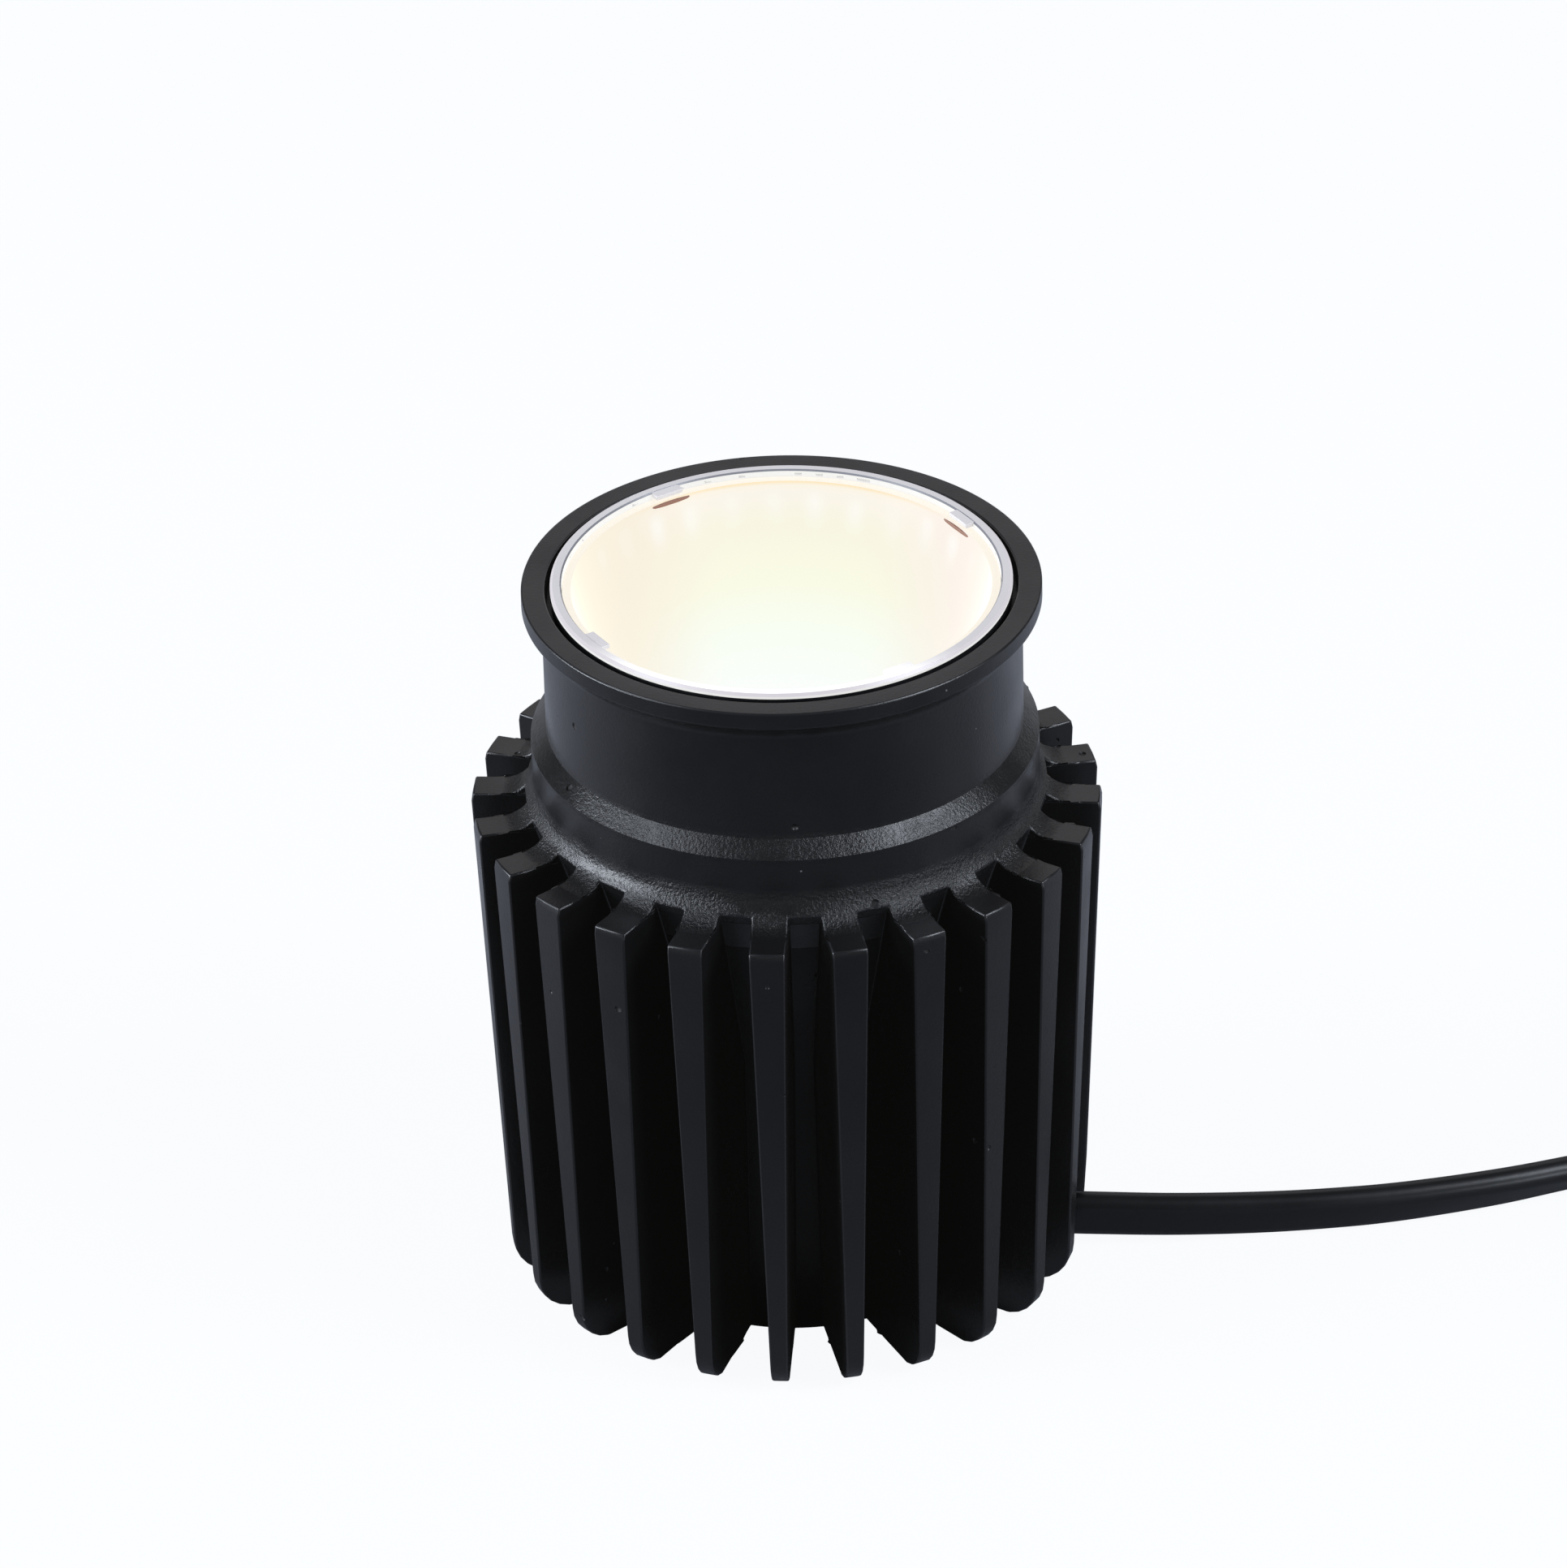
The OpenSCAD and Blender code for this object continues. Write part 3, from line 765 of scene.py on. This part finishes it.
class LEDMOD_OT_light(bpy.types.Operator):
    """Build the reflector cup, the clear cover and the light source"""
    bl_idname = "ledmod.light"
    bl_label = "Build Light"

    def execute(self, context):
        settings = context.scene.ledmod_light
        self.cup(settings)
        self.cover(settings)
        self.hooks()
        white = moulded("White holder", (0.82, 0.82, 0.8), 0.45)
        for name in ("led_holder", "led_board"):
            paint_node(name, white)
        paint_node("holder_screws", moulded("Screw steel", (0.5, 0.5, 0.52), 0.3, Metallic=1.0))
        paint_node("thermal_pad", moulded("Pad", (0.4, 0.43, 0.47), 0.8))
        paint_node("inner_wires", moulded("Wire sleeve", (0.5, 0.04, 0.03), 0.4))
        paint_node("led_phosphor", moulded(
            "Glowing layer", (1.0, 0.82, 0.4), 0.5,
            Emission_Color=(1.0, 0.9, 0.7), Emission_Strength=settings.source))
        return {"FINISHED"}

    def cup(self, settings):
        """The cup, lit inside and on its rim, and unlit where it lies in the recess"""
        cup = turned("reflector_cup", cup_profile())
        rim = moulded("Lit rim", (0.1, 0.1, 0.1), 0.3,
                      Emission_Color=(1.0, 0.93, 0.8), Emission_Strength=0.86)
        unlit = moulded("Rim in painted shade", (0.012, 0.012, 0.013), 0.5)
        finish_piece(cup, "reflector", ["reflector"], glow_material(settings), rim, unlit)
        # the rim's top glows with painted light, and the rim's outside in the recess is painted
        # dark as shade
        for face in cup.data.polygons:
            if face.center.z > CUP_HIGH[2] + (RIM_LIFT - 0.1) * MM:
                face.material_index = 1
            elif face.center.xy.length > CUP_HIGH[0] - 0.9 * MM:
                face.material_index = 2

    def cover(self, settings):
        """The clear disc, its frosted edge ring and the tabs on it"""
        low, top, outer = CUP_HIGH[2] / MM, LENS_HIGH[2] / MM, LENS_HIGH[0] / MM
        inner = outer - RING_WIDTH
        pane_low, pane_top = (top - down for down in PANE_DOWN)
        pane = turned("cover_pane", [(0, pane_low), (inner, pane_low), (inner, pane_top),
                                     (0, pane_top)])
        finish_piece(pane, "clear_cover", ["front_cover"], clear_material())
        ring = [(inner, low), (outer, low), (outer, HEIGHT), (outer, top - RING_BEVEL),
                (outer - RING_BEVEL, top), (inner + INNER_BEVEL, top), (inner, top - INNER_BEVEL),
                (inner, low)]
        # the ring's side in the recess is painted dark as shade, and its outer edge and bevel glow
        # with painted light
        shadow = moulded("Edge in painted shade", (0.01, 0.01, 0.011), 0.5)
        lit = moulded("Lit edge", (0.2, 0.2, 0.2), 0.3,
                      Emission_Color=(1.0, 0.99, 0.96), Emission_Strength=0.7)
        rose_glow = moulded("Edge bevel glow", (0.3, 0.27, 0.28), 0.3,
                       Emission_Color=(0.9, 0.86, 0.9), Emission_Strength=0.5)
        grey = moulded("Inner bevel", (0.26, 0.26, 0.28), 0.3)
        frosted = frosted_material("Frosted edge", settings.ring, (0.27, 0.262, 0.285))
        edge = turned("cover_edge", ring)
        finish_piece(edge, "clear_cover", [], frosted, shadow, lit, rose_glow, grey)
        # one material for each side of the ring, in the order of its outline
        zones = (0, 1, 2, 3, 0, 4, 2)
        for face in edge.data.polygons:
            face.material_index = zones[face.index // SEGMENTS]
        tabs = arc_blocks("cover_tabs", TAB_WIDTH, inner - TAB_REACH, inner + 0.1,
                          top - 0.5, top - 0.03)
        pale = frosted_material("Clear tab", settings.ring, (0.3, 0.295, 0.315))
        finish_piece(tabs, "clear_cover", [], pale)
        soften(tabs, 0.08 * MM)

    def hooks(self):
        """The hooks of the tabs at the cup's rim, painted dark as the tabs' shadow against the
        light, with a faint painted brownish glow
        """
        top = CUP_HIGH[2] / MM + RIM_LIFT
        hooks = arc_blocks("cover_hooks", HOOK_WIDTH, *HOOK_REACH, top - 0.6, top - 0.15)
        finish_piece(hooks, "clear_cover", [], moulded(
            "Hook shade", (0.14, 0.05, 0.03), 0.4,
            Emission_Color=(0.3, 0.16, 0.11), Emission_Strength=0.5))
        soften(hooks, 0.15 * MM)


# The lead and its plug

def smooth_line(points, steps):
    """A smooth curve through some points, and the leg that each of its points lies on"""
    last = len(points) - 1
    line = []
    for i in range(last):
        a, b, c, d = (points[min(max(i + k, 0), last)] for k in (-1, 0, 1, 2))
        for k in range(steps):
            t = k / steps
            bend = 2 * a - 5 * b + 4 * c - d + t * (3 * (b - c) + d - a)
            line.append((b + t / 2 * (c - a + t * bend), i + t))
    return line + [(points[last], last)]


def lead_rings(line, width, thickness, sides=32):
    """Rings of the flat lead, in millimetres, its wide side turning along the way"""
    rings = []
    radius, offset = thickness / 2, (width - thickness) / 2
    for j, (point, leg) in enumerate(line):
        ahead = (line[min(j + 1, len(line) - 1)][0] - line[max(j - 1, 0)][0]).normalized()
        side = Vector((0, 0, 1)).cross(ahead).normalized()
        i = min(int(leg), len(TURN) - 2)
        angle = math.radians(TURN[i] + (TURN[i + 1] - TURN[i]) * (leg - i))
        wide = math.cos(angle) * ahead.cross(side) - math.sin(angle) * side
        flat = wide.cross(ahead)
        lift = offset * abs(wide.z) + radius + FLOOR_GAP - point.z
        point = point + Vector((0, 0, max(lift, 0)))
        ring = []
        for s in range(sides):
            a = 2 * math.pi * (s + 0.5) / sides
            across = radius * math.sin(a) + math.copysign(offset, math.sin(a))
            ring.append(point + radius * math.cos(a) * flat + across * wide)
        rings.append(ring)
    return [[line[0][0]] * sides] + rings + [[line[-1][0]] * sides]


class LEDMOD_OT_lead(bpy.types.Operator):
    """Build the flat lead, its grommet and its plug"""
    bl_idname = "ledmod.lead"
    bl_label = "Build Lead"

    def execute(self, context):
        settings = context.scene.ledmod_lead
        line = smooth_line(ROUTE, 6)
        rings = lead_rings(line, settings.width / MM, settings.thickness / MM)
        cable = rings_mesh("lead", rings, 60)
        jacket = moulded("Jacket", settings.colour, 0.36, 0.015 * MM, 700, Specular_IOR_Level=0.45)
        finish_piece(cable, "cable_jacket", ["cable"], jacket)
        grip = moulded("Plug plastic", (0.01, 0.01, 0.011), 0.45, 0.03 * MM, 1500)
        paint_node("plug_body", grip)
        paint_node("plug_insulator", grip)
        paint_node("plug_sleeve", moulded("Nickel", (0.6, 0.61, 0.62), 0.2, Metallic=1.0))
        paint_node("plug_contact", moulded("Brass", (0.6, 0.46, 0.2), 0.3, Metallic=1.0))
        paint_node("cable_grommet", moulded("Grommet rubber", (0.012, 0.012, 0.012), 0.6))
        return {"FINISHED"}


# The stage

def swung(a, b, angle):
    """Two square directions, the first swung towards the second by an angle"""
    return math.cos(angle) * a + math.sin(angle) * b, math.cos(angle) * b - math.sin(angle) * a


def camera_matrix(settings):
    """The camera's place and turn, as fitted to the photograph"""
    flat = settings.distance * math.cos(settings.elevation)
    place = Vector((0, -flat, settings.distance * math.sin(settings.elevation)))
    ahead = -place.normalized()
    right = Vector((1, 0, 0))
    up = right.cross(ahead)
    ahead, up = swung(ahead, up, settings.tilt)
    ahead, right = swung(ahead, right, settings.yaw)
    right, up = swung(right, up, -settings.roll)
    turn = Matrix((right, up, -ahead)).transposed().to_4x4()
    return Matrix.Rotation(settings.azimuth, 4, "Z") @ Matrix.Translation(place) @ turn


def area_lamp(name, place, size, power, colour):
    """A soft lamp that faces the module"""
    data = bpy.data.lights.new(name, "AREA")
    data.shape = "ELLIPSE"
    data.size, data.size_y = size
    data.energy = power
    data.color = colour
    lamp = bpy.data.objects.new(name, data)
    lamp.location = place
    lamp.rotation_euler = (LAMP_AIM - Vector(place)).to_track_quat("-Z", "Y").to_euler()
    bpy.context.collection.objects.link(lamp)


def floor_material(settings):
    """Almost white to the camera, with its soft shadow; darker where it is mirrored nearby"""
    mat, tree, bsdf = new_material("Floor")
    shade(bsdf, Roughness=0.9, Specular_IOR_Level=0.0)
    white = node(tree, "ShaderNodeEmission", Strength=FLOOR_LEVEL, Color=(*settings.floor, 1.0))
    rays = node(tree, "ShaderNodeLightPath").outputs
    depth = span(tree, axes(tree)["Y"], -0.1, 0.06, smooth=True)
    back = blend(tree, depth, settings.bounce, settings.far_bounce)
    away = node(tree, "ShaderNodeVectorMath", operation="LENGTH")
    tree.links.new(own_place(tree), away.inputs["Vector"])
    far = span(tree, away.outputs["Value"], 0.3, 0.7, smooth=True)
    mirrored = maths(tree, "MULTIPLY", rays["Is Glossy Ray"], far)
    direct = maths(tree, "MAXIMUM", rays["Is Camera Ray"], rays["Is Transmission Ray"])
    shown = maths(tree, "MAXIMUM", direct, mirrored)
    tree.links.new(blend(tree, shown, back, settings.floor), bsdf.inputs["Base Color"])
    share = maths(tree, "MULTIPLY", shown, FLOOR_SHARE)
    show_mix(tree, share, bsdf.outputs["BSDF"], white.outputs["Emission"])
    return mat


class LEDMOD_OT_stage(bpy.types.Operator):
    """Build the white floor, the lamps and the photograph's camera"""
    bl_idname = "ledmod.stage"
    bl_label = "Build Stage"

    def execute(self, context):
        settings = context.scene.ledmod_stage
        self.floor(settings)
        self.lamps(context, settings)
        data = bpy.data.cameras.new("Photo camera")
        data.sensor_width = SENSOR
        data.lens = SENSOR * PHOTO_FOCAL / PHOTO_LONG_SIDE
        camera = bpy.data.objects.new("Photo camera", data)
        camera.matrix_world = camera_matrix(settings)
        context.collection.objects.link(camera)
        context.scene.camera = camera
        context.scene.view_settings.view_transform = "Standard"
        return {"FINISHED"}

    def floor(self, settings):
        """The floor that the module stands on"""
        mesh = bpy.data.meshes.new("floor")
        corners = [(x * FLOOR_REACH, y * FLOOR_REACH, 0)
                   for x, y in ((-1, -1), (1, -1), (1, 1), (-1, 1))]
        mesh.from_pydata(corners, [], [(0, 1, 2, 3)])
        obj = bpy.data.objects.new("floor", mesh)
        bpy.context.collection.objects.link(obj)
        mesh.materials.append(floor_material(settings))

    def lamps(self, context, settings):
        """The soft lamps round the module, and a dim pale room"""
        for name, place, size, share, colour in LAMPS:
            area_lamp(name, place, size, settings.key * share, colour)
        world = bpy.data.worlds.new("Room")
        world.use_nodes = True
        shade(world.node_tree.nodes["Background"], Color=(0.95, 0.97, 1.0), Strength=0.1)
        context.scene.world = world


class LEDMOD_PT_panel(bpy.types.Panel):
    """Lists the pieces of the module"""
    bl_idname = "LEDMOD_PT_panel"
    bl_label = "LED Module"
    bl_space_type = "VIEW_3D"
    bl_region_type = "UI"
    bl_category = "LED Module"

    def draw(self, context):
        for name, group in SETTINGS.items():
            box = self.layout.box()
            settings = getattr(context.scene, f"ledmod_{name}")
            for key in group.__annotations__:
                box.prop(settings, key)
            box.operator(f"ledmod.{name}")


SETTINGS = {"casting": CastingSettings, "light": LightSettings, "lead": LeadSettings,
            "stage": StageSettings}
CLASSES = (*SETTINGS.values(), LEDMOD_OT_casting, LEDMOD_OT_light, LEDMOD_OT_lead, LEDMOD_OT_stage,
           LEDMOD_PT_panel)


def register():
    """Adds the classes and their settings"""
    for cls in CLASSES:
        bpy.utils.register_class(cls)
    for name, group in SETTINGS.items():
        setattr(bpy.types.Scene, f"ledmod_{name}", bpy.props.PointerProperty(type=group))


def unregister():
    """Takes the classes and their settings away"""
    for name in SETTINGS:
        delattr(bpy.types.Scene, f"ledmod_{name}")
    for cls in reversed(CLASSES):
        bpy.utils.unregister_class(cls)


def main():
    """Builds every piece and the stage"""
    register()
    bpy.ops.ledmod.lead()
    bpy.ops.ledmod.casting()
    bpy.ops.ledmod.light()
    bpy.ops.ledmod.stage()


if __name__ == "__main__":
    main()
